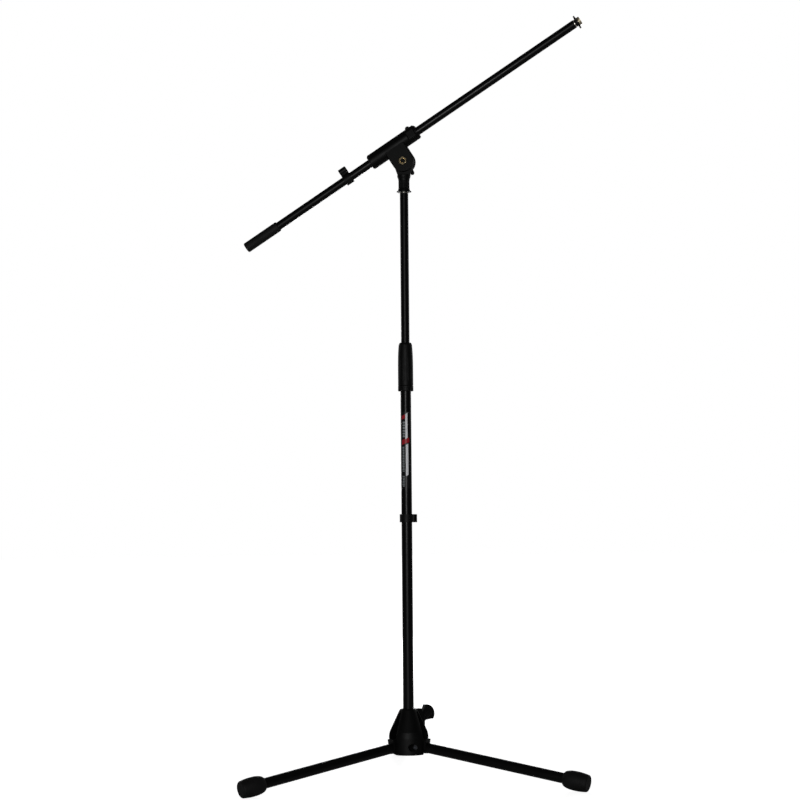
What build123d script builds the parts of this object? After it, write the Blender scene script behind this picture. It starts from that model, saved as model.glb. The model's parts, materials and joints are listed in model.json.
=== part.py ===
from build123d import *
from math import asin, atan2, cos, radians, sin, sqrt
import os

# Boom microphone stand, millimetres. +Z up, origin on the floor under the column's axis, +X the way the boom
# points. The boom, the head and the column's axis lie in the plane Y = 0.

# ---- column and mast -------------------------------------------------------------------------------------
COLUMN_R = 10.0            # lower tube, outside
COLUMN_BORE_R = 9.0
COLUMN_BOTTOM_Z = 52.0
COLUMN_TOP_Z = 792.0
MAST_R = 8.0               # upper tube, outside
MAST_BORE_R = 7.0
MAST_BOTTOM_Z = 366.0
MAST_TOP_Z = 1108.4
RUNNING_GAP = 0.05         # radial clearance of a turning or sliding fit
BUSH_LENGTH = 30.0

# ---- height clutch ---------------------------------------------------------------------------------------
CLUTCH_BOTTOM_Z = 730.6
CLUTCH_TOP_Z = 822.5
COLLAR_HEIGHT = 10.0
COLLAR_R = 14.5
CORE_R = 11.5              # threaded body under the grip
GRIP_BORE_R = 11.9
FLUTE_PHASE = 25.7         # azimuth of a flute of the grip
COLLET_BOTTOM_Z = 800.0
COLLET_TOP_Z = 816.0

# ---- tripod ----------------------------------------------------------------------------------------------
LEG_AZIMUTHS = {"left": 224.44, "right": 344.44, "rear": 104.44}
LEG_DROOP = 8.43           # degrees below horizontal
LEG_TUBE_R = 9.5
LEG_TUBE_WALL = 1.2
PIVOT_RADIUS = 22.0        # leg hinge, from the column's axis
PIVOT_Z = 64.54
LEG_TUBE_START = 17.2      # along the leg, from its hinge
LEG_TUBE_END = 334.0
FOOT_START = 293.7
FOOT_END = 340.1
KNUCKLE_HALF = 9.5         # half its width
HEEL_R = 8.4
SLOT_HALF = 9.9            # half the width of the hub's slot for a leg
RIB_HALF = 13.0            # outer faces of the two ribs beside a slot
PIVOT_BOLT_R = 3.0

# ---- hub -------------------------------------------------------------------------------------------------
HUB_BOTTOM_Z = 50.0
HUB_TOP_Z = 133.5
HUB_WALL = 3.5
HUB_CORE_R = 13.1          # sleeve round the column
SLOT_FLOOR_R = 12.2        # inner end of a leg's slot, where a folded leg lies against the sleeve
HUB_R = 37.1
CLAMP_AZIMUTH = 44.44      # midway between the right and the rear leg
CLAMP_RISE = 34.2          # degrees, the clamp screw points up and out
CLAMP_HEIGHT = 94.2        # where the screw's axis would meet the column's axis
CLAMP_BOSS_END = 41.0      # face of the hub's screw boss, along the clamp screw
CLAMP_KNOB_FLAT = 52.6     # straight edge of the half-moon knob, along the clamp screw
SCREW_R = 4.0
PAD_R = 4.8

# ---- boom head -------------------------------------------------------------------------------------------
HINGE_Z = 1169.5
BOOM_TILT = 32.14          # degrees above horizontal
BOOM_OFFSET = 34.2         # boom axis from the tilt hinge
TONGUE_R = 19.7
TONGUE_HALF = 5.4
CHEEK_R = 20.8
CHEEK_INNER = 6.8
CHEEK_OUTER = 14.2
BOLT_R = 4.0
NUT_FACE = -12.7           # outer face of the hexagon nut, along the tilt bolt
NUT_FLATS = 15.0
SLEEVE_R = 14.8
SLEEVE_LIFT = 0.75         # sleeve's outside is that much off the boom's axis
SLEEVE_START = -53.5       # along the boom, from the foot of the perpendicular through the hinge
SLEEVE_END = 51.5
LINER_R = 10.0
KNOB_AT = 38.5             # clamp screw, along the boom
KNOB_RISE = 20.0           # degrees, towards the boom's upper side

# ---- boom ------------------------------------------------------------------------------------------------
BOOM_R = 8.0
BOOM_BORE_R = 7.0
BOOM_START = -344.0
BOOM_END = 410.0
BOOM_GRIP_R = 10.0
BOOM_GRIP_START = -346.4
BOOM_GRIP_END = -270.7
STUD_R = 4.76              # 3/8 inch thread
ADAPTER_R = 7.94           # 5/8 inch thread
DISC_START = 415.0         # flange of the lock disc, along the boom
DISC_THICK = 2.6
ADAPTER_START = 418.0
BOOM_TIP = 423.8

# ---- cable clips -----------------------------------------------------------------------------------------
CLIP_WIDTH = 15.2
CLIP_WALL = 2.3
CLIP_STALK = 3.7           # from the ring to the inside of the cable loop
CABLE_R = 4.2
COLUMN_CLIP_Z = 490.2
COLUMN_CLIP_AZIMUTH = -39.0
BOOM_CLIP_AT = -107.7

os.makedirs("parts", exist_ok=True)


def save(name, *solids):
    """Writes one node, one or more separate solids, to its STEP file."""
    shape = solids[0] if len(solids) == 1 else Compound(children=list(solids))
    shape.label = name
    export_step(shape, f"parts/{name}.step")


def turned(points):
    """A solid of revolution about Z from a closed outline of (radius, height) points."""
    return revolve(Plane.XZ * make_face(Polyline(*points, close=True)), Axis.Z)


def ring(outer, inner, low, high):
    """A plain tube or ring about Z."""
    return turned([(inner, low), (outer, low), (outer, high), (inner, high)])


def rod(radius, low, high):
    """A solid cylinder about Z."""
    return Pos(0, 0, (low + high) / 2) * Cylinder(radius, high - low)


def hexagon(across_flats, low, high):
    """A hexagonal prism about Z."""
    return Pos(0, 0, low) * extrude(RegularPolygon(across_flats / 2, 6, major_radius=False), high - low)


def threaded(radius, low, high, pitch, depth):
    """A rod about Z with a row of V grooves that stands for its thread."""
    turns = int((high - low) / pitch - 0.2)
    points = [(0, low), (radius - depth, low)]
    for i in range(turns):
        points += [(radius, low + (i + 0.5) * pitch), (radius - depth, low + (i + 1) * pitch)]
    return turned(points + [(radius - depth, high), (0, high)])


def towards(origin, direction, across=None):
    """The place whose local Z runs along direction, from origin."""
    if across is None:
        return Plane(origin=origin, z_dir=direction).location
    return Plane(origin=origin, x_dir=across, z_dir=direction).location


def polar(radius, azimuth, z=0.0):
    return Vector(radius * cos(radians(azimuth)), radius * sin(radians(azimuth)), z)


# ==== column ==============================================================================================
def column():
    save("lower_tube", ring(COLUMN_R, COLUMN_BORE_R, COLUMN_BOTTOM_Z, COLUMN_TOP_Z))

    flange = fillet(rod(COLUMN_R, COLUMN_BOTTOM_Z - 2, COLUMN_BOTTOM_Z).edges().sort_by(Axis.Z)[:1], 0.8)
    save("lower_tube_plug", flange + ring(COLUMN_BORE_R, 6.5, COLUMN_BOTTOM_Z, COLUMN_BOTTOM_Z + 10))

    bottom, collar_top = CLUTCH_BOTTOM_Z, CLUTCH_BOTTOM_Z + COLLAR_HEIGHT
    core = turned([
        (COLUMN_R, bottom), (COLLAR_R - 0.6, bottom), (COLLAR_R, bottom + 0.6),
        (COLLAR_R, collar_top - 0.4), (COLLAR_R - 0.4, collar_top), (CORE_R, collar_top),
        (CORE_R, COLLET_BOTTOM_Z), (9.2, COLLET_BOTTOM_Z), (9.2, COLUMN_TOP_Z), (COLUMN_R, COLUMN_TOP_Z),
    ])
    notches = [Rot(0, 0, 360 / 16 * i) * Pos(COLLAR_R, 0, bottom + 4) * Box(1.6, 2.4, 5.2) for i in range(16)]
    save("clutch_core", core - notches)

    collet = turned([
        (MAST_R + 0.1, COLLET_BOTTOM_Z), (CORE_R - 0.2, COLLET_BOTTOM_Z), (CORE_R - 0.2, COLLET_BOTTOM_Z + 2),
        (9.6, COLLET_TOP_Z), (MAST_R + 0.1, COLLET_TOP_Z),
    ])
    slit = Pos(0, 0, COLLET_BOTTOM_Z + 10) * Box(30, 1.4, 12.1)
    save("clutch_collet", collet - slit - Rot(0, 0, 90) * slit)


def clutch_grip():
    """Turned sleeve over the core, with shallow flutes. Its cone closes the collet."""
    low, top = CLUTCH_BOTTOM_Z + COLLAR_HEIGHT + 0.4, CLUTCH_TOP_Z
    foot, brow = (14.4, low + 0.6), (12.6, top - 4)
    shoulder = COLLET_TOP_Z + 1
    profile = (
        Spline(foot, (14.35, top - 60), (14.2, top - 34), (13.45, top - 14), brow)
        + Polyline(brow, (11.2, top - 0.7), (10.6, top), (8.4, top), (8.4, shoulder))
        + Polyline((8.4, shoulder), (10.0, shoulder), (GRIP_BORE_R, COLLET_BOTTOM_Z))
        + Polyline((GRIP_BORE_R, COLLET_BOTTOM_Z), (GRIP_BORE_R, low), (13.8, low), foot)
    )
    grip = revolve(Plane.XZ * make_face(profile), Axis.Z)
    flute = Pos(16.3, 0, (low + top) / 2 - 5) * Cylinder(2.3, 58)
    flute = fillet(flute.edges(), 2.2)
    save("clutch_grip", grip - [Rot(0, 0, FLUTE_PHASE + 30 * i) * flute for i in range(12)])


# ==== mast ================================================================================================
def mast():
    save("upper_tube", ring(MAST_R, MAST_BORE_R, MAST_BOTTOM_Z, MAST_TOP_Z))
    save("upper_tube_plug",
         rod(8.6, MAST_BOTTOM_Z - 2, MAST_BOTTOM_Z) + rod(MAST_BORE_R, MAST_BOTTOM_Z, MAST_BOTTOM_Z + 8))

    bush_low = MAST_BOTTOM_Z + 0.3
    save("guide_bush", ring(COLUMN_BORE_R - RUNNING_GAP, MAST_R + RUNNING_GAP, bush_low, bush_low + BUSH_LENGTH))
    ring_low = bush_low + BUSH_LENGTH + 0.3
    save("guide_ring", ring(8.7, MAST_R, ring_low, ring_low + 1.5))

    collar_top = MAST_TOP_Z + 2.0
    stud_top = collar_top + 18.0
    save("mast_stud",
         rod(MAST_BORE_R, MAST_TOP_Z - 20, MAST_TOP_Z) + rod(7.8, MAST_TOP_Z, collar_top)
         + threaded(5.0, collar_top, stud_top, 1.5, 0.5))
    flange = ring(13.9, 5.0, collar_top, collar_top + 2.2)
    save("head_flange", fillet(flange.edges().filter_by(GeomType.CIRCLE).group_by(SortBy.RADIUS)[-1], 0.7))
    save("head_base", head_base(collar_top + 2.2, stud_top))


def head_base(low, stud_top):
    """Ribbed neck that flares into a shoulder, and the tongue that the boom head tilts on."""
    neck_r, shoulder_r, shoulder_z = 10.5, 12.95, 1143.4
    neck = turned([
        (5.0, low), (11.6, low), (11.5, low + 1.2), (neck_r, low + 6), (neck_r, 1132.5), (11.2, 1136.5),
        (12.3, 1139.0), (shoulder_r, shoulder_z - 0.8), (shoulder_r - 0.8, shoulder_z), (0, shoulder_z),
        (0, stud_top + 1), (5.0, stud_top + 1),
    ])
    groove = Pos(neck_r + 0.35, 0, (low + 1133) / 2 + 2) * Cylinder(0.8, 15)
    neck -= [Rot(0, 0, 15 * i) * groove for i in range(24)]

    # flanks of the tongue touch its round end
    root_z, half = shoulder_z - 3.0, 10.4
    reach = HINGE_Z - root_z
    lean = asin(TONGUE_R / sqrt(half**2 + reach**2)) - atan2(half, reach)
    touch = (TONGUE_R * cos(lean), HINGE_Z - TONGUE_R * sin(lean))
    outline = make_face(Polyline(
        (-half, root_z), (half, root_z), touch, (0, HINGE_Z), (-touch[0], touch[1]), close=True))
    tongue = extrude(Plane.XZ * outline, TONGUE_HALF, both=True)
    disc = towards((0, 0, HINGE_Z), (0, 1, 0)) * Cylinder(TONGUE_R, 2 * TONGUE_HALF)
    hole = towards((0, 0, HINGE_Z), (0, 1, 0)) * Cylinder(BOLT_R + RUNNING_GAP, 60)
    return neck + (tongue + disc) - hole


# ==== boom head, drawn with the hinge at the origin, the boom along +X and the perpendicular to it along +Z ====
def head_place():
    tilt = radians(BOOM_TILT)
    along, off = (cos(tilt), 0, sin(tilt)), (-sin(tilt), 0, cos(tilt))
    return Plane(origin=(0, 0, HINGE_Z), x_dir=along, z_dir=off).location


HEAD = head_place()
ALONG_BOOM = Pos(0, 0, BOOM_OFFSET) * Rot(0, 90, 0)   # local Z runs along the boom, local X points down
ALONG_HINGE = Rot(-90, 0, 0)                          # local Z runs along +Y
KNOB_AXIS = Vector(0, cos(radians(KNOB_RISE)), sin(radians(KNOB_RISE)))
ALONG_KNOB = towards((KNOB_AT, 0, BOOM_OFFSET), KNOB_AXIS, (1, 0, 0))


def boom_head():
    """Sleeve round the boom, with two cheeks that straddle the tongue and a boss for the clamp screw."""
    length = SLEEVE_END - SLEEVE_START
    middle = (SLEEVE_START + SLEEVE_END) / 2
    sleeve = Pos(middle, 0, BOOM_OFFSET + SLEEVE_LIFT) * Rot(0, 90, 0) * Cylinder(SLEEVE_R, length)
    sleeve = chamfer(sleeve.edges().filter_by(GeomType.CIRCLE), 0.8)
    cheek = Rectangle(2 * CHEEK_R, 30, align=(Align.CENTER, Align.MIN)) + Circle(CHEEK_R)
    cheeks = extrude(Plane.XZ * cheek, CHEEK_OUTER, both=True)
    cheeks = fillet(cheeks.edges().filter_by(lambda e: abs(e.center().Y) > CHEEK_OUTER - 0.1
                                             and e.center().Z < 29), 1.6)
    boss = ALONG_KNOB * Pos(0, 0, 9.5) * Cylinder(9.5, 19)
    boss = fillet(boss.edges().sort_by(Axis.Y)[-1:], 1.0)
    pad = Pos(KNOB_AT + 2.0, -13.2, BOOM_OFFSET - 0.5) * fillet(Box(18, 6, 17).edges(), 2.2)
    head = sleeve + cheeks + boss + pad
    head -= Pos(0, 0, -15) * Box(90, 2 * CHEEK_INNER, 70.2)
    head -= ALONG_BOOM * rod(LINER_R + 0.06, -70, 70)
    head -= ALONG_HINGE * Cylinder(BOLT_R + 0.1, 60)
    head -= ALONG_HINGE * rod(9.0, -16, -(CHEEK_OUTER - 1.2))
    head -= ALONG_HINGE * hexagon(NUT_FLATS + 0.2, -16, -8.6)
    head -= ALONG_KNOB * (rod(PAD_R + 0.1, 5, 14.2) + rod(SCREW_R + RUNNING_GAP, 5, 25))
    save("boom_head", HEAD * head)

    for name, side in (("front", -1), ("back", 1)):
        low, high = sorted((side * (CHEEK_INNER - 1.1), side * CHEEK_INNER))
        save(f"friction_washer_{name}", HEAD * ALONG_HINGE * ring(17.0, 4.3, low, high))


def tilt_lock():
    face, sunk = NUT_FACE - 0.1, NUT_FACE + 0.8
    countersink = turned([(0, face), (4.9, face), (4.0, sunk), (0, sunk)])
    nut = ALONG_HINGE * (hexagon(NUT_FLATS, NUT_FACE, -8.7) - rod(BOLT_R + RUNNING_GAP, -14, -8) - countersink)
    nut = chamfer(nut.edges().filter_by(GeomType.LINE).sort_by(Axis.Y)[:6], 0.6)
    save("tilt_nut", HEAD * nut)

    bolt = ALONG_HINGE * (threaded(BOLT_R, -11.0, -6.0, 1.25, 0.4) + rod(BOLT_R, -6.0, 29.0))
    save("tilt_bolt", HEAD * bolt)
    washer = ring(8.0, BOLT_R + RUNNING_GAP, CHEEK_OUTER + 0.2, CHEEK_OUTER + 1.7)
    save("tilt_washer", HEAD * ALONG_HINGE * washer)

    # bar handle, square to the boom
    hub_low, bar_low, bar_high = CHEEK_OUTER + 2.0, 22.5, 31.5
    half_span, root, tip = 24.4, 6.2, 4.4
    bar = Polyline((-half_span + tip, -tip), (0, -root), (half_span - tip, -tip), (half_span - tip, tip),
                   (0, root), (-half_span + tip, tip), close=True)
    handle = extrude(make_face(bar), bar_high - bar_low)
    for side in (-1, 1):
        end = Cylinder(tip, bar_high - bar_low, align=(Align.CENTER, Align.CENTER, Align.MIN))
        handle += Pos(side * (half_span - tip), 0, 0) * end
    handle = Pos(0, 0, bar_low) * fillet(handle.edges().group_by(Axis.Z)[-1], 1.8)
    cap = bar_high + 1.6
    handle += turned([(0, hub_low), (7.0, hub_low), (8.4, bar_low), (8.4, bar_high), (7.2, cap), (0, cap)])
    handle -= rod(BOLT_R, hub_low - 1, 29.0)
    save("tilt_handle", HEAD * ALONG_HINGE * Rot(0, 0, 90) * handle)


def boom_lock():
    """Pressure shoe, screw and star knob that clamp the boom in its sleeve."""
    boom = ALONG_BOOM * rod(BOOM_R + 0.1, -70, 70)
    save("boom_shoe", HEAD * (ALONG_KNOB * rod(PAD_R, 5.0, 11.2) - boom))

    screw = threaded(SCREW_R, 11.5, 24.0, 1.25, 0.4) + rod(SCREW_R, 24.0, 33.0)
    save("boom_screw", HEAD * ALONG_KNOB * screw)

    low, high = 21.5, 35.5
    star = Circle(12.0)
    for i in range(6):
        star += Rot(0, 0, 60 * i) * Pos(11.8, 0) * Circle(4.8)
    knob = Pos(0, 0, low + 3.5) * extrude(star, high - low - 3.5)
    knob = fillet(knob.edges().group_by(Axis.Z)[-1] + knob.edges().group_by(Axis.Z)[0], 1.4)
    knob += rod(7.6, low, low + 6) + turned([(0, high), (7.0, high), (5.6, high + 1.4), (0, high + 1.4)])
    knob -= rod(SCREW_R, low - 1, 33.0)
    save("boom_knob", HEAD * ALONG_KNOB * Rot(0, 0, -90) * knob)


def boom_liners():
    """Flanged plastic bushes at the sleeve's two ends. The boom slides in them and turns with them."""
    rear = turned([
        (BOOM_R + RUNNING_GAP, SLEEVE_START - 1.7), (12.9, SLEEVE_START - 1.7), (13.5, SLEEVE_START - 1.1),
        (13.5, SLEEVE_START - 0.2), (LINER_R, SLEEVE_START - 0.2), (LINER_R, SLEEVE_START + 28),
        (BOOM_R + RUNNING_GAP, SLEEVE_START + 28),
    ])
    front = turned([
        (BOOM_R + RUNNING_GAP, SLEEVE_END + 1.7), (12.9, SLEEVE_END + 1.7), (13.5, SLEEVE_END + 1.1),
        (13.5, SLEEVE_END + 0.2), (LINER_R, SLEEVE_END + 0.2), (LINER_R, SLEEVE_END - 6),
        (BOOM_R + RUNNING_GAP, SLEEVE_END - 6),
    ])
    save("liner_rear", HEAD * ALONG_BOOM * rear)
    save("liner_front", HEAD * ALONG_BOOM * front)


# ==== boom ================================================================================================
def boom():
    save("boom_tube", HEAD * ALONG_BOOM * ring(BOOM_R, BOOM_BORE_R, BOOM_START, BOOM_END))
    grip = rod(BOOM_GRIP_R, BOOM_GRIP_START, BOOM_GRIP_END)
    grip = fillet(grip.edges().filter_by(GeomType.CIRCLE), 1.8) - rod(BOOM_R, BOOM_START, BOOM_GRIP_END + 1)
    save("boom_grip", HEAD * ALONG_BOOM * grip)

    stud_low, disc_top = BOOM_END + 1.8, DISC_START + DISC_THICK
    insert = rod(BOOM_BORE_R, BOOM_END - 20, BOOM_END) + chamfer(
        rod(7.8, BOOM_END, stud_low).edges().filter_by(GeomType.CIRCLE).sort_by(Axis.Z)[-1:], 0.6)
    save("boom_insert", HEAD * ALONG_BOOM * (insert + threaded(STUD_R, stud_low, BOOM_TIP - 1.3, 1.588, 0.45)))

    disc = ring(13.5, STUD_R + RUNNING_GAP, DISC_START, disc_top)
    disc = fillet(disc.edges().filter_by(GeomType.CIRCLE).group_by(SortBy.RADIUS)[-1], 0.6)
    disc += ring(7.2, STUD_R + RUNNING_GAP, DISC_START - 2.6, DISC_START)
    save("lock_disc", HEAD * ALONG_BOOM * disc)

    adapter = rod(ADAPTER_R, ADAPTER_START, BOOM_TIP)
    adapter = chamfer(adapter.edges().sort_by(Axis.Z)[-1:], 0.5) - rod(STUD_R + RUNNING_GAP, 410, 430)
    slot = Pos(0, 0, BOOM_TIP) * Box(20, 1.8, 3.0)
    save("thread_adapter", HEAD * ALONG_BOOM * (adapter - slot))


# ==== tripod ==============================================================================================
def leg_place(azimuth):
    """Origin at the hinge, local X out along the leg, local Y across it, local Z up from it."""
    droop = radians(LEG_DROOP)
    out = polar(cos(droop), azimuth, -sin(droop))
    up = polar(sin(droop), azimuth, cos(droop))
    return Plane(origin=polar(PIVOT_RADIUS, azimuth, PIVOT_Z), x_dir=out, z_dir=up).location


def foot():
    """Barrel-shaped boot about Z, from its lip to its ribbed end."""
    length, socket = FOOT_END - FOOT_START, LEG_TUBE_END - FOOT_START
    outline = (
        Spline((13.8, 1.2), (16.4, 9), (17.4, 19), (17.3, 29), (16.3, 39), (15.7, length - 3.6))
        + ThreePointArc((15.7, length - 3.6), (14.9, length - 1.1), (12.6, length))
        + Polyline((12.6, length), (0, length), (0, socket), (LEG_TUBE_R, socket))
        + Polyline((LEG_TUBE_R, socket), (LEG_TUBE_R, 0), (12.8, 0), (13.8, 1.2))
    )
    boot = revolve(Plane.XZ * make_face(outline), Axis.Z)
    for z, radius in ((length - 7.0, 15.7), (length - 11.0, 16.2), (length - 15.0, 16.6)):
        boot -= turned([(radius, z), (radius + 3, z - 1.6), (radius + 3, z + 1.6)])
    return boot


def knuckle():
    """Leg root: heel round the hinge with a square stop, a lug over the tube's end, and a spigot in the tube."""
    end, lug = LEG_TUBE_START - 0.2, 16.5
    droop = radians(LEG_DROOP)
    stop = (-HEEL_R * cos(droop) - HEEL_R * sin(droop), HEEL_R * cos(droop) - HEEL_R * sin(droop))
    root = (-HEEL_R * cos(droop), -HEEL_R * sin(droop))
    under = (2.0, -HEEL_R * 0.97)
    web = make_face(Polyline(root, stop, (6.0, lug - 1.0), (end, lug), (end, -LEG_TUBE_R), under, close=True))
    body = extrude(Plane.XZ * (web + Circle(HEEL_R)), KNUCKLE_HALF, both=True)
    body = fillet(body.edges().filter_by(Axis.Y).sort_by(Axis.X)[-2:], 1.2)
    spigot = Rot(0, 90, 0) * rod(LEG_TUBE_R - LEG_TUBE_WALL, end - 1, end + 26)
    return body + spigot


def legs():
    across = Rot(-90, 0, 0)
    bore = across * Cylinder(PIVOT_BOLT_R + RUNNING_GAP, 40)
    rivet_at = LEG_TUBE_START + 12
    rivet_hole = Pos(rivet_at, 0, 0) * across * Cylinder(2.0, 40)
    shank = Cylinder(2.0, 2 * LEG_TUBE_R + 0.6)
    heads = [Pos(0, 0, side * (LEG_TUBE_R + 0.45)) * Cylinder(3.6, 1.3) for side in (-1, 1)]
    rivet = Pos(rivet_at, 0, 0) * across * (shank + heads)
    tube = Rot(0, 90, 0) * ring(LEG_TUBE_R, LEG_TUBE_R - LEG_TUBE_WALL, LEG_TUBE_START, LEG_TUBE_END)
    boot = Pos(FOOT_START, 0, 0) * Rot(0, 90, 0) * foot()
    floor = Pos(0, 0, -50) * Box(2000, 2000, 100)
    for name, azimuth in LEG_AZIMUTHS.items():
        place = leg_place(azimuth)
        save(f"leg_knuckle_{name}", place * (knuckle() - bore - rivet_hole))
        save(f"leg_tube_{name}", place * (tube - rivet_hole))
        save(f"leg_rivet_{name}", place * (rivet - (tube - rivet_hole)))
        save(f"foot_{name}", place * boot - floor)


def hub():
    """Bell with three slots for the legs, hollow underneath between them, and a block for the clamp screw."""
    bell = turned([
        (0, HUB_BOTTOM_Z), (HUB_R - 1.2, HUB_BOTTOM_Z), (HUB_R, HUB_BOTTOM_Z + 1.2), (HUB_R, 81.0),
        (36.7, 86.0), (35.4, 91.5), (17.4, 130.0), (16.4, 132.0), (14.6, HUB_TOP_Z - 0.6), (13.0, HUB_TOP_Z),
        (0, HUB_TOP_Z),
    ])
    wall = HUB_WALL
    hollow = turned([
        (HUB_CORE_R, HUB_BOTTOM_Z - 1), (HUB_R - wall, HUB_BOTTOM_Z - 1), (HUB_R - wall, 81.0), (32.0, 89.5),
        (19.0, 117.0), (HUB_CORE_R, 117.0),
    ])
    block = Rot(0, 0, CLAMP_AZIMUTH) * Pos(16, 0, (88 + HUB_TOP_Z) / 2) * Box(32, 20, HUB_TOP_Z - 1 - 88)
    block = fillet(block.edges().filter_by(Axis.Z), 3.0)
    block_core = Rot(0, 0, CLAMP_AZIMUTH) * Pos(16, 0, 105) * Box(32, 20, 60)
    screw = clamp_place()
    face = screw * Pos(0, 0, CLAMP_BOSS_END + 39) * Box(80, 80, 80)
    boss = screw * fillet(rod(9.0, 15, CLAMP_BOSS_END).edges().sort_by(Axis.Z)[-1:], 1.0)
    hollow -= block_core

    slots, pockets = [], []
    for azimuth in LEG_AZIMUTHS.values():
        turn = Rot(0, 0, azimuth)
        hollow -= turn * Pos(25, 0, 90) * Box(50, 2 * RIB_HALF, 100)
        slots.append(turn * Pos(SLOT_FLOOR_R + 15, 0, 62) * Box(30, 2 * SLOT_HALF, 44))
        right_side = [(11.6, 82), (11.6, 90), (2.4, 129.0)]
        left_side = [(-y, z) for y, z in reversed(right_side)]
        wedge = make_face(Polyline(*right_side, *left_side, close=True))
        channel = extrude(Plane.YZ * wedge, 60)
        keep = turned([(0, 70), (23.0, 70), (23.0, 84.0), (12.9, 129.5), (0, 129.5)])
        pockets.append(turn * channel - keep)
        # a through hole for the hinge bolt, and an access hole in the bell's wall for its head
        bolt_line = turn * Pos(PIVOT_RADIUS, 0, PIVOT_Z) * Rot(-90, 0, 0)
        slots.append(bolt_line * Cylinder(PIVOT_BOLT_R, 38))
        slots.append(bolt_line * rod(7.0, -45, -RIB_HALF))
    body = bell + (block - face) + boss - hollow
    for cut in slots + pockets:
        body -= cut
    body -= rod(COLUMN_R + RUNNING_GAP, 0, 200)
    body -= screw * (rod(SCREW_R + RUNNING_GAP, 5, 60) + rod(PAD_R + 0.1, 5, 22))
    save("hub", body)


def hinge_bolts():
    bolts, nuts = [], []
    for azimuth in LEG_AZIMUTHS.values():
        line = Rot(0, 0, azimuth) * Pos(PIVOT_RADIUS, 0, PIVOT_Z) * Rot(-90, 0, 0)
        head = fillet(rod(5.0, -17.0, -RIB_HALF).edges().sort_by(Axis.Z)[:1], 1.4)
        head -= hexagon(4.0, -18, -15.0)
        bolts.append(line * (head + rod(PIVOT_BOLT_R, -RIB_HALF, 18.5)))
        nuts.append(line * (hexagon(10.0, RIB_HALF, RIB_HALF + 4.4) - rod(PIVOT_BOLT_R, 0, 30)))
    save("leg_bolts", *bolts)
    save("leg_nuts", *nuts)


def clamp_place():
    """Local Z runs up and out along the hub's clamp screw, from the column's axis; local Y is level."""
    direction = polar(cos(radians(CLAMP_RISE)), CLAMP_AZIMUTH, sin(radians(CLAMP_RISE)))
    level = polar(1, CLAMP_AZIMUTH + 90)
    return Plane(origin=(0, 0, CLAMP_HEIGHT), x_dir=level.cross(direction), z_dir=direction).location


def hub_clamp():
    place = clamp_place()
    column_space = rod(COLUMN_R + 0.1, 0, 200)
    save("hub_shoe", place * rod(PAD_R, 8.0, 18.0) - column_space)
    save("hub_screw", place * (threaded(SCREW_R, 18.3, 45.0, 1.25, 0.4) + rod(SCREW_R, 45.0, 60.0)))

    # half-moon plate with finger ridges, on a gusset that narrows to a round hub
    flat, thick, chord, height = CLAMP_KNOB_FLAT, 9.0, 34.0, 12.5
    radius = (chord**2 / 4 + height**2) / (2 * height)
    moon = Pos(0, 0, flat + height - radius) * Rot(90, 0, 0) * Cylinder(radius, thick)
    moon -= Pos(0, 0, flat - 50) * Box(100, 100, 100)
    moon = fillet(moon.edges(), 1.5)
    gusset_low = flat - 10.8
    sides = Polyline((-15.4, flat + 1.5), (-9.2, gusset_low), (9.2, gusset_low), (15.4, flat + 1.5), close=True)
    gusset = extrude(Plane.XZ * make_face(sides), thick / 2 - 0.6, both=True)
    gusset = fillet(gusset.edges().filter_by(Axis.X), 1.0)
    ridges = []
    for x in (-12.6, -8.4, -4.2, 4.2, 8.4, 12.6):
        for side in (-1, 1):
            ridges.append(Pos(x, side * (thick / 2 + 0.35), flat + 5) * Cylinder(0.9, 16))
    knob = moon - ridges + gusset + rod(8.2, gusset_low, flat + 3) - rod(SCREW_R, 0, 60)
    save("hub_knob", place * knob)


# ==== cable clips =========================================================================================
def clip(tube_r):
    """Open ring that snaps on a tube about Z, with an open cable loop on a stalk on its +X side."""
    inner, outer = tube_r + 0.1, tube_r + 0.1 + CLIP_WALL
    loop_x = outer + CLIP_STALK + CABLE_R
    ring_part = Circle(outer) - Circle(inner)
    mouth = Polyline((0, 0), (-30, 22), (-30, -22), close=True)
    ring_part -= make_face(mouth)
    loop = Pos(loop_x, 0) * (Circle(CABLE_R + 2.0) - Circle(CABLE_R))
    loop -= Pos(loop_x + 6, 0) * Rectangle(12, 5.4)
    web_start = outer - 1.5
    web = Pos(web_start, 0) * Rectangle(loop_x - CABLE_R - web_start, 7.5, align=(Align.MIN, Align.CENTER))
    cable = Pos(loop_x, 0) * Circle(CABLE_R)
    profile = ring_part + (loop - Circle(outer - 0.5)) + (web - Circle(inner + 0.5)) - cable
    for side in (-1, 1):
        corner = ring_part.vertices().sort_by(Axis.X)[0]
        profile += Pos(corner.X, side * abs(corner.Y)) * Circle(1.3)
    return Pos(0, 0, -CLIP_WIDTH / 2) * extrude(profile - Circle(inner), CLIP_WIDTH)


def clips():
    save("column_clip", Pos(0, 0, COLUMN_CLIP_Z) * Rot(0, 0, COLUMN_CLIP_AZIMUTH) * clip(COLUMN_R))
    save("boom_clip", HEAD * ALONG_BOOM * Pos(0, 0, BOOM_CLIP_AT) * Rot(0, 0, 180) * clip(BOOM_R))


column()
clutch_grip()
mast()
boom_head()
tilt_lock()
boom_lock()
boom_liners()
boom()
legs()
hub()
hinge_bolts()
hub_clamp()
clips()
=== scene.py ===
import json
from math import cos, pi, radians, sin

import bpy
from mathutils import Matrix, Vector


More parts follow.
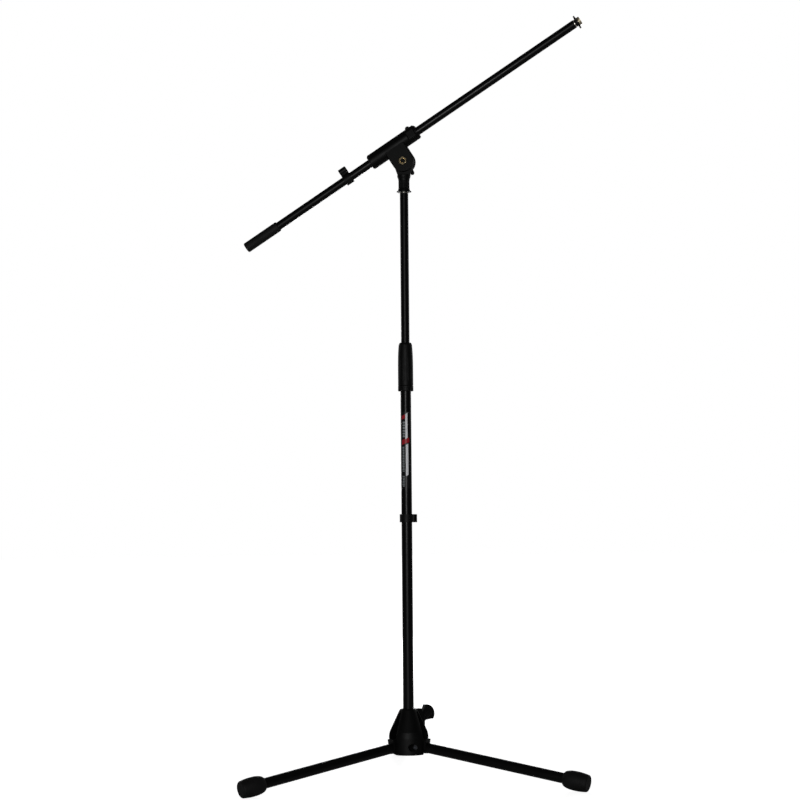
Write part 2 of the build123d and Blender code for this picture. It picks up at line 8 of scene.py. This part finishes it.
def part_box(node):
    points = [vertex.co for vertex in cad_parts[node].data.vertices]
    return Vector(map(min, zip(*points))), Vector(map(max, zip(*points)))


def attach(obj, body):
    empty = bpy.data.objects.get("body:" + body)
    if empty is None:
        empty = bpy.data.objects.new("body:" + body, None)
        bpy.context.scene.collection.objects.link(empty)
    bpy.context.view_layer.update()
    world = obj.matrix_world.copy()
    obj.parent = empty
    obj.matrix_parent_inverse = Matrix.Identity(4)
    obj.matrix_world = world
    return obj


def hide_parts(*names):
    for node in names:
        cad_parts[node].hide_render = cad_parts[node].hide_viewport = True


# Boom microphone stand: camera, light, floor, the finish of every CAD part, and the pieces that are only looks.
# Everything is in metres, in the frame of the CAD model: +Z up, origin on the floor under the column, +X the way
# the boom points.

MM = 0.001

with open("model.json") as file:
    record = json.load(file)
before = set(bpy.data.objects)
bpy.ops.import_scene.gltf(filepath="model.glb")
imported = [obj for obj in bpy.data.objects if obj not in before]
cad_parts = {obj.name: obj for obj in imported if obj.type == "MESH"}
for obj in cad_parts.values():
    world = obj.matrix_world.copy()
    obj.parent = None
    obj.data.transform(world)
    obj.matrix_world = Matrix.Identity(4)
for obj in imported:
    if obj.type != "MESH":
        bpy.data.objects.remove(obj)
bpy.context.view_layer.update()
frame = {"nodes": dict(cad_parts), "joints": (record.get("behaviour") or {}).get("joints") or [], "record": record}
NODES = frame["nodes"]
JOINTS = {joint["name"]: joint for joint in frame["joints"]}


# ==== camera ==================================================================================================
VIEW_AZIMUTH = radians(10.74)      # 0 looks along +Y
VIEW_DISTANCE = 3.5                # from the column's axis, assumed
VIEW_HEIGHT = 0.525
VIEW_YAW = radians(-0.18)
VIEW_PITCH = radians(3.09)
VIEW_ROLL = -0.0084                # radians
SENSOR = 36.0                      # mm
LENS = 83.19                       # mm
VIEW_END = 50                      # metres


def make_camera():
    """A long lens low in front of the stand, pitched up a little."""
    ahead = Vector((sin(VIEW_YAW) * cos(VIEW_PITCH), cos(VIEW_YAW) * cos(VIEW_PITCH), sin(VIEW_PITCH)))
    level = Vector((cos(VIEW_YAW), -sin(VIEW_YAW), 0))
    above = level.cross(ahead)
    right = level * cos(VIEW_ROLL) + above * sin(VIEW_ROLL)
    up = above * cos(VIEW_ROLL) - level * sin(VIEW_ROLL)
    turn = Matrix.Rotation(VIEW_AZIMUTH, 4, "Z")
    pose = Matrix((right, up, -ahead)).transposed().to_4x4()
    pose.translation = Vector((0, -VIEW_DISTANCE, VIEW_HEIGHT))

    data = bpy.data.cameras.new("camera")
    data.sensor_width = SENSOR
    data.lens = LENS
    data.clip_end = VIEW_END
    camera = bpy.data.objects.new("camera", data)
    camera.matrix_world = turn @ pose
    bpy.context.scene.collection.objects.link(camera)
    bpy.context.scene.camera = camera


make_camera()


# ==== shader helpers ==========================================================================================
MIX_SHARE, MIX_FIRST, MIX_SECOND, MIX_RESULT = 0, 6, 7, 2      # colour sockets of the Mix node
EDGE_FLAT, EDGE_TURNED = 0.97, 0.86                            # cosines where edge wear and painted sheen start and are full
BEVEL_SAMPLES = 6
FULLY_UP = 0.95


class Shader:
    """A material's node tree with a Principled shader, and short names for the nodes that the finishes share."""

    def __init__(self, name):
        self.material = bpy.data.materials.new(name)
        self.material.use_nodes = True
        self.tree = self.material.node_tree
        self.surface = self.tree.nodes["Principled BSDF"]
        coordinates = self.tree.nodes.new("ShaderNodeTexCoord")
        self.place = coordinates.outputs["Object"]

    def set(self, **values):
        for name, value in values.items():
            self.surface.inputs[name.replace("_", " ")].default_value = value
        return self

    def join(self, value, socket):
        """Links an output, or sets a plain value."""
        if isinstance(value, bpy.types.NodeSocket):
            self.tree.links.new(value, socket)
        else:
            socket.default_value = value

    def node(self, kind, **inputs):
        made = self.tree.nodes.new(kind)
        for name, value in inputs.items():
            self.join(value, made.inputs[name.replace("_", " ")])
        return made

    def noise(self, scale, detail=2.0, roughness=0.5, stretch=(1, 1, 1)):
        """Noise whose cells are about 1 / scale metres, drawn out along the axes that stretch makes small."""
        place = self.node("ShaderNodeMapping", Vector=self.place, Scale=stretch).outputs["Vector"]
        return self.node("ShaderNodeTexNoise", Vector=place, Scale=scale, Detail=detail,
                         Roughness=roughness).outputs["Fac"]

    def ramp(self, value, low, high, start, end):
        """Maps value from low..high to start..end, held at the ends."""
        made = self.node("ShaderNodeMapRange", Value=value)
        for name, number in (("From Min", low), ("From Max", high), ("To Min", start), ("To Max", end)):
            made.inputs[name].default_value = number
        return made.outputs["Result"]

    def mix(self, share, first, second):
        made = self.tree.nodes.new("ShaderNodeMix")
        made.data_type = "RGBA"
        self.join(share, made.inputs[MIX_SHARE])
        self.join(first, made.inputs[MIX_FIRST])
        self.join(second, made.inputs[MIX_SECOND])
        return made.outputs[MIX_RESULT]

    def math(self, operation, first, second=0.0):
        made = self.tree.nodes.new("ShaderNodeMath")
        made.operation = operation
        self.join(first, made.inputs[0])
        self.join(second, made.inputs[1])
        return made.outputs[0]

    def rounded(self, radius):
        """A normal that eases over sharp edges, as a moulded or cast edge does."""
        made = self.tree.nodes.new("ShaderNodeBevel")
        made.samples = BEVEL_SAMPLES
        made.inputs["Radius"].default_value = radius
        return made.outputs["Normal"]

    def bump(self, height, depth, normal=None, strength=1.0):
        made = self.node("ShaderNodeBump", Strength=strength, Distance=depth, Height=height)
        if normal is not None:
            self.join(normal, made.inputs["Normal"])
        return made.outputs["Normal"]

    def upward(self):
        """How far a point faces up, from -1 to 1."""
        normal = self.node("ShaderNodeNewGeometry").outputs["Normal"]
        return self.node("ShaderNodeSeparateXYZ", Vector=normal).outputs["Z"]

    def dust(self, facing, scale, thin, thick):
        """Patches of dust on faces that look up more than facing, where the noise is over thin."""
        lying = self.ramp(self.upward(), facing, FULLY_UP, 0.0, 1.0)
        patches = self.ramp(self.noise(scale, 4.0, 0.7), thin, thick, 0.0, 1.0)
        return self.math("MULTIPLY", lying, patches)

    def edges(self, normal):
        """1 where the eased normal leaves the face's own, which is on sharp edges, and 0 on open faces."""
        plain = self.node("ShaderNodeNewGeometry").outputs["True Normal"]
        made = self.tree.nodes.new("ShaderNodeVectorMath")
        made.operation = "DOT_PRODUCT"
        self.join(normal, made.inputs[0])
        self.join(plain, made.inputs[1])
        return self.ramp(made.outputs["Value"], EDGE_FLAT, EDGE_TURNED, 0.0, 1.0)

    def finish(self, color=None, roughness=None, normal=None):
        for value, socket in ((color, "Base Color"), (roughness, "Roughness"), (normal, "Normal")):
            if value is not None:
                self.join(value, self.surface.inputs[socket])
        return self.material


def grey(level, tint=(1.0, 1.0, 1.0)):
    return (level * tint[0], level * tint[1], level * tint[2], 1.0)


DUST = grey(0.12, (1, 0.97, 0.92))


# ==== finishes ================================================================================================
def powder_coat(name, along):
    """Satin black powder coat on a drawn tube: orange peel, faint draw lines along the tube and a little dust."""
    s = Shader(name).set(Coat_Weight=0.045, Coat_Roughness=0.14, Specular_IOR_Level=0.14)
    stretch = tuple(0.02 if abs(part) > 0.7 else 1.0 for part in along)
    peel = s.noise(700, 3.0, 0.55)
    cloud = s.noise(38, 3.0, 0.6)
    lines = s.noise(900, 2.0, 0.6, stretch)
    rubbed = s.ramp(s.noise(260, 4.0, 0.7, stretch), 0.66, 0.74, 0.0, 1.0)
    dust = s.dust(0.35, 420, 0.5, 0.72)
    paint = s.mix(cloud, grey(0.0012, (1, 1.02, 1.08)), grey(0.0024, (1, 1.02, 1.06)))
    paint = s.mix(s.math("MULTIPLY", rubbed, 0.3), paint, grey(0.012))
    paint = s.mix(s.math("MULTIPLY", dust, 0.05), paint, DUST)
    rough = s.math("ADD", s.ramp(cloud, 0.3, 0.7, 0.30, 0.38), s.math("MULTIPLY", lines, 0.05))
    rough = s.math("ADD", rough, s.math("MULTIPLY", dust, 0.2))
    height = s.math("ADD", peel, s.math("MULTIPLY", lines, 0.25))
    return s.finish(paint, rough, s.bump(height, 0.00003))


def cast_enamel(name):
    """Black enamel over a die casting: a fine pebble, soft edges painted a shade lighter as rubbed wear and as a
    painted sheen, dust on top.
    """
    s = Shader(name).set(Specular_IOR_Level=0.15)
    soft = s.rounded(0.0006)
    edge_wear_and_sheen = s.math("MULTIPLY", s.edges(soft), s.ramp(s.noise(330, 3.0, 0.65), 0.40, 0.62, 0.0, 1.0))
    pebble = s.node("ShaderNodeTexVoronoi", Vector=s.place, Scale=2100.0).outputs["Distance"]
    grain = s.noise(2200, 2.0, 0.5)
    cloud = s.noise(60, 3.0, 0.6)
    dust = s.dust(0.3, 300, 0.45, 0.75)
    paint = s.mix(cloud, grey(0.0010, (1, 1.05, 1.08)), grey(0.0020, (1, 1.03, 1.02)))
    # edges painted lighter in patches: rubbed wear, and a painted sheen on the edges
    paint = s.mix(s.math("MULTIPLY", edge_wear_and_sheen, 0.35), paint, grey(0.04, (1, 0.98, 0.95)))
    paint = s.mix(s.math("MULTIPLY", dust, 0.06), paint, DUST)
    rough = s.math("SUBTRACT", s.ramp(cloud, 0.3, 0.7, 0.42, 0.52), s.math("MULTIPLY", edge_wear_and_sheen, 0.12))
    height = s.math("ADD", pebble, s.math("MULTIPLY", grain, 0.4))
    return s.finish(paint, rough, s.bump(height, 0.00004, soft))


def moulded_nylon(name, level=0.0024, rough_low=0.46, rough_high=0.56):
    """Black moulded nylon with a spark-eroded grain, and softened edges that are polished by hands and painted
    lighter as a painted sheen.
    """
    s = Shader(name).set(Specular_IOR_Level=0.17)
    soft = s.rounded(0.0005)
    handled_and_sheen = s.edges(soft)
    grain = s.noise(2600, 3.0, 0.6)
    cloud = s.noise(85, 2.0, 0.55)
    dust = s.dust(0.3, 500, 0.5, 0.75)
    colour = s.mix(cloud, grey(level * 0.8), grey(level * 1.25, (1, 1, 1.03)))
    # all edges painted lighter: a painted sheen, partly the wear of handling
    colour = s.mix(s.math("MULTIPLY", handled_and_sheen, 0.3), colour, grey(0.022))
    colour = s.mix(s.math("MULTIPLY", dust, 0.05), colour, DUST)
    rough = s.math("SUBTRACT", s.ramp(cloud, 0.3, 0.7, rough_low, rough_high), s.math("MULTIPLY", handled_and_sheen, 0.14))
    return s.finish(colour, rough, s.bump(grain, 0.00006, soft))


def moulded_rubber(name):
    """Matte rubber, a little greyed with bloom and scuffed in patches."""
    s = Shader(name).set(Specular_IOR_Level=0.28)
    soft = s.rounded(0.0008)
    grain = s.noise(1900, 3.0, 0.65)
    bloom = s.ramp(s.noise(70, 4.0, 0.65), 0.4, 0.7, 0.0, 1.0)
    scuff = s.ramp(s.noise(240, 5.0, 0.75), 0.6, 0.72, 0.0, 1.0)
    colour = s.mix(bloom, grey(0.0022), grey(0.0048, (1, 1, 0.98)))
    colour = s.mix(s.math("MULTIPLY", scuff, 0.16), colour, grey(0.04, (1, 0.98, 0.95)))
    rough = s.ramp(bloom, 0.0, 1.0, 0.62, 0.78)
    height = s.math("ADD", grain, s.math("MULTIPLY", scuff, 0.5))
    return s.finish(colour, rough, s.bump(height, 0.00008, soft))


def plated(name, color, shade, rough_low, rough_high, lines=(1, 1, 1)):
    """Plated metal with turning lines, small pits and darker tarnish in places."""
    s = Shader(name).set(Metallic=1.0)
    soft = s.rounded(0.0002)
    turning = s.noise(1500, 2.0, 0.6, lines)
    stain = s.ramp(s.noise(160, 4.0, 0.65), 0.5, 0.75, 0.0, 1.0)
    cells = s.node("ShaderNodeTexVoronoi", Vector=s.place, Scale=1400.0).outputs["Distance"]
    pits = s.ramp(cells, 0.0, 0.12, 1.0, 0.0)
    tone = s.mix(s.math("MULTIPLY", stain, 0.6), color, shade)
    tone = s.mix(s.math("MULTIPLY", pits, 0.3), tone, grey(0.08))
    rough = s.math("ADD", s.ramp(turning, 0.3, 0.7, rough_low, rough_high), s.math("MULTIPLY", stain, 0.12))
    return s.finish(tone, rough, s.bump(turning, 0.00001, soft))


def pressed_fibre(name):
    """Grey-brown friction fibre with short flecks."""
    s = Shader(name)
    fleck = s.ramp(s.noise(1300, 4.0, 0.8), 0.5, 0.7, 0.0, 1.0)
    colour = s.mix(fleck, (0.035, 0.03, 0.026, 1), (0.13, 0.115, 0.095, 1))
    return s.finish(colour, s.ramp(fleck, 0, 1, 0.82, 0.7), s.bump(fleck, 0.00008))


def printed_film(name, color, rough=0.34):
    """Glossy printed film, with print mottle, fine scratches and a slightly uneven surface."""
    s = Shader(name).set(Specular_IOR_Level=0.3)
    mottle = s.noise(900, 3.0, 0.6)
    scratch = s.ramp(s.noise(1200, 2.0, 0.8, (1, 1, 0.04)), 0.62, 0.7, 0.0, 1.0)
    darker = tuple(0.84 * c for c in color[:3]) + (1.0,)
    colour = s.mix(s.ramp(mottle, 0.35, 0.65, 0.0, 1.0), color, darker)
    rough = s.math("ADD", s.ramp(mottle, 0.3, 0.7, rough, rough + 0.08), s.math("MULTIPLY", scratch, 0.2))
    return s.finish(colour, rough, s.bump(mottle, 0.00001))


def paint_nodes():
    """Gives each CAD part its finish: by name where parts of one slot differ, otherwise by the record's slot."""
    slot_of = {row["node"]: row["material_slot"] for row in frame["record"]["subparts"]}
    boom_line = Vector(JOINTS["boom_reach"]["axis"])
    tube_finishes = {
        "lower_tube": powder_coat("column_powder_coat", (0, 0, 1)),
        "boom_tube": powder_coat("boom_powder_coat", tuple(boom_line)),
    }
    tube_finishes["upper_tube"] = tube_finishes["lower_tube"]
    leg_coat = powder_coat("leg_powder_coat", (1, 0, 0))
    finishes = {
        "casting_paint": cast_enamel("cast_enamel"),
        "black_plastic": moulded_nylon("moulded_nylon"),
        "liner_plastic": moulded_nylon("acetal", 0.009, 0.3, 0.38),
        "black_rubber": moulded_rubber("moulded_rubber"),
        "friction_fibre": pressed_fibre("friction_fibre"),
        "nickel_plate": plated("nickel_plate", (0.80, 0.77, 0.70, 1), (0.42, 0.38, 0.31, 1), 0.16, 0.26),
        "zinc_plate": plated("zinc_plate", (0.66, 0.67, 0.68, 1), (0.40, 0.40, 0.38, 1), 0.22, 0.34),
        "black_steel": cast_enamel("black_oxide"),
    }
    yellow_zinc = plated("yellow_zinc", (0.72, 0.58, 0.34, 1), (0.34, 0.25, 0.13, 1), 0.14, 0.26)
    dark_zinc = plated("dark_zinc", (0.17, 0.18, 0.20, 1), (0.08, 0.08, 0.09, 1), 0.34, 0.44)
    for name, node in NODES.items():
        if name in tube_finishes:
            finish = tube_finishes[name]
        elif slot_of[name] == "tube_paint":
            finish = leg_coat
        elif name == "tilt_nut":
            finish = yellow_zinc
        elif name in ("tilt_bolt", "hub_screw"):
            finish = finishes["black_steel"]
        elif name in ("leg_bolts", "leg_nuts"):
            finish = dark_zinc
        else:
            finish = finishes[slot_of[name]]
        node.data.materials.clear()
        node.data.materials.append(finish)


paint_nodes()


# ==== pieces that are only looks ===============================================================================
def mesh_piece(name, points, faces, body, material):
    """A closed mesh that rides on a CAD body."""
    mesh = bpy.data.meshes.new(name)
    mesh.from_pydata(points, [], faces)
    mesh.update()
    piece = bpy.data.objects.new(name, mesh)
    bpy.context.scene.collection.objects.link(piece)
    mesh.materials.append(material)
    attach(piece, body)
    return piece


def closed_tube(rings):
    """Faces that join each ring of point numbers to the next one, and the last to the first."""
    faces = []
    for here, there in zip(rings, rings[1:] + rings[:1]):
        for i in range(len(here)):
            k = (i + 1) % len(here)
            faces.append((here[i], here[k], there[k], there[i]))
    return faces


THREAD_PITCH = 25.4 * MM / 27
THREAD_R = 7.94 * MM
THREAD_BORE_R = 4.95 * MM
THREAD_DEPTH = 0.55 * MM
THREAD_TURN_POINTS = 72
THREAD_PITCH_STEPS = 12
THREAD_CLEARANCE = 0.02 * MM       # keeps the crests and ends inside the CAD part
THREAD_CHAMFER = 0.5 * MM
CREST_SLOPE = 1.25                 # over 1 leaves the crests flat


def make_thread():
    """The tip's adapter with a helical thread, in place of the CAD's plain ring."""
    low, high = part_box("thread_adapter")
    line = Vector(JOINTS["adapter_turn"]["axis"])
    across = Vector((0, 1, 0))
    upper = line.cross(across)
    middle = (low + high) / 2
    length = (high.x - low.x - 2 * THREAD_R * abs(upper.x)) / line.x - THREAD_CLEARANCE
    steps = round(length / THREAD_PITCH * THREAD_PITCH_STEPS)
    points, rings = [], []

    def add_ring(along, radius_at):
        first = len(points)
        for i in range(THREAD_TURN_POINTS):
            share = i / THREAD_TURN_POINTS
            out = across * cos(2 * pi * share) + upper * sin(2 * pi * share)
            points.append(middle + line * (along - length / 2) + out * radius_at(along, share))
        rings.append(list(range(first, len(points))))

    def thread_radius(along, share):
        phase = (along / THREAD_PITCH - share) % 1.0
        crest = 1 - abs(2 * phase - 1)
        radius = THREAD_R - THREAD_CLEARANCE - THREAD_DEPTH * (1 - min(1.0, CREST_SLOPE * crest))
        return min(radius, THREAD_R - THREAD_CHAMFER + min(along, length - along))

    def bore_radius(along, share):
        return THREAD_BORE_R

    for step in range(steps + 1):
        add_ring(length * step / steps, thread_radius)
    for along in (length, 0.0):
        add_ring(along, bore_radius)
    plate = plated("thread_plate", (0.92, 0.86, 0.70, 1), (0.55, 0.48, 0.33, 1), 0.34, 0.46)
    piece = mesh_piece("adapter_thread", points, closed_tube(rings), "adapter", plate)
    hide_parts("thread_adapter")


# The label's radii are in mm. The column's is 10.
LABEL_UNDER_R = 9.99
LABEL_BACK_R = 10.03
LABEL_INK_FOOT_R = LABEL_BACK_R - 0.01
LABEL_INK_R = 10.06
FILM_STEP = 3                      # degrees between the film's edges


def film(name, low, high, left, right, inside, outside, finish, slant=0.0):
    """A thin curved patch on the column. Heights in mm, sides in degrees from the front, slant in mm of rise
    from its left to its right."""
    count = max(2, round((right - left) / FILM_STEP))
    points, rings = [], []
    for i in range(count + 1):
        share = i / count
        turn = radians(left + (right - left) * share)
        lift = slant * (share - 0.5)
        ring = []
        for radius, height in ((inside, low), (outside, low), (outside, high), (inside, high)):
            points.append((radius * MM * sin(turn), -radius * MM * cos(turn), (height + lift) * MM))
            ring.append(len(points) - 1)
        rings.append(ring)
    faces = closed_tube(rings)[:-4] + [tuple(reversed(rings[0])), tuple(rings[-1])]
    return mesh_piece(name, points, faces, "column", finish)


def make_label():
    """A printed label with plain bars and dashes, on the front of the column."""
    black = printed_film("film_black", (0.004, 0.004, 0.0045, 1))
    white = printed_film("film_white", (0.96, 0.97, 1.0, 1), 0.36)
    red = printed_film("film_red", (0.42, 0.012, 0.022, 1), 0.36)
    pale = printed_film("film_pale_grey", (0.30, 0.33, 0.34, 1), 0.36)
    film("label_back", 546.0, 691.0, -52, 62, LABEL_UNDER_R, LABEL_BACK_R, black)
    bars = (
        ("stripe_top", 640.5, 688.0, 4, 27, white, 3.0),
        ("stripe_low", 570.5, 629.5, 7, 33, white, 3.0),
        ("flag_top", 677.5, 684.5, -44, 3, red, 3.0),
        ("flag_mid", 631.0, 640.0, -42, 46, red, 5.0),
    )
    for name, low, high, left, right, finish, slant in bars:
        film("label_" + name, low, high, left, right, LABEL_INK_FOOT_R, LABEL_INK_R, finish, slant)
    columns = (("dash_a", 643.0, 676.0, 5.2, 3.4, -28, 1), ("dash_b", 578.0, 626.0, 3.0, 1.7, -33, -9),
               ("dash_c", 550.0, 573.0, 3.0, 1.7, -33, -9))
    for name, low, high, pitch, tall, left, right in columns:
        for i in range(int((high - low) / pitch)):
            start = low + pitch * i
            film(f"label_{name}_{i}", start, start + tall, left, right, LABEL_INK_FOOT_R, LABEL_INK_R, pale)


make_thread()
make_label()


# ==== stage ===================================================================================================
FLOOR_R = 14
GLOW_NEAR, GLOW_FAR = (0.5, 0.88), (2.2, 1.1)      # distance from the column, and how bright the floor looks there: painted light seen only by the camera, dimmer near the column as painted shade around the stand
LIGHT_AIM = 0.7                                    # height that the lights are turned to
# name, azimuth (0 is in front, along -Y), height, distance, size, power
LIGHTS = (
    ("front_box", 5, 0.75, 3.6, 0.6, 38),
    ("back_box", 191, 1.0, 3.6, 0.9, 32),
    ("back_left_box", -118, 1.6, 3.4, 1.5, 9),
    ("back_right_box", 138, 1.6, 3.4, 1.5, 9),
)


def make_stage():
    """Plain pale floor and surrounding. Only the camera sees how bright they are; the floor's glow is painted
    light, dimmer near the column as painted shade around the stand.
    """
    bpy.ops.mesh.primitive_circle_add(vertices=96, radius=FLOOR_R, fill_type="NGON", location=(0, 0, 0))
    floor = bpy.context.object
    floor.name = "floor"
    s = Shader("pale_floor")
    distance = s.tree.nodes.new("ShaderNodeVectorMath")
    distance.operation = "LENGTH"
    s.join(s.place, distance.inputs[0])
    seen = s.node("ShaderNodeLightPath").outputs["Is Camera Ray"]
    # painted light on the floor, seen only by the camera and dimmed near the column as painted shade
    painted_floor_light = s.math("MULTIPLY", seen, s.ramp(distance.outputs["Value"], GLOW_NEAR[0], GLOW_FAR[0], GLOW_NEAR[1],
                                          GLOW_FAR[1]))
    s.set(Base_Color=grey(0.80), Roughness=0.9, Specular_IOR_Level=0.1, Emission_Color=grey(1.0))
    s.join(painted_floor_light, s.surface.inputs["Emission Strength"])
    floor.data.materials.append(s.material)

    world = bpy.data.worlds.new("surrounding")
    bpy.context.scene.world = world
    world.use_nodes = True
    tree = world.node_tree
    tree.nodes.clear()
    seen = tree.nodes.new("ShaderNodeBackground")
    seen.inputs["Color"].default_value = grey(1.0)
    light = tree.nodes.new("ShaderNodeBackground")
    light.inputs["Color"].default_value = grey(0.05)
    choice = tree.nodes.new("ShaderNodeMixShader")
    ray = tree.nodes.new("ShaderNodeLightPath")
    out = tree.nodes.new("ShaderNodeOutputWorld")
    tree.links.new(ray.outputs["Is Camera Ray"], choice.inputs["Fac"])
    tree.links.new(light.outputs["Background"], choice.inputs[1])
    tree.links.new(seen.outputs["Background"], choice.inputs[2])
    tree.links.new(choice.outputs["Shader"], out.inputs["Surface"])


def make_light(name, azimuth, height, distance, size, power):
    """A square soft box, turned to the stand and not seen itself."""
    data = bpy.data.lights.new(name, "AREA")
    data.shape = "SQUARE"
    data.size = size
    data.energy = power
    light = bpy.data.objects.new(name, data)
    light.location = (distance * sin(radians(azimuth)), -distance * cos(radians(azimuth)), height)
    to_stand = Vector((0, 0, LIGHT_AIM)) - light.location
    light.rotation_euler = to_stand.to_track_quat("-Z", "Y").to_euler()
    light.visible_camera = False
    bpy.context.scene.collection.objects.link(light)


make_stage()
for light_row in LIGHTS:
    make_light(*light_row)
bpy.context.scene.view_settings.view_transform = "Standard"
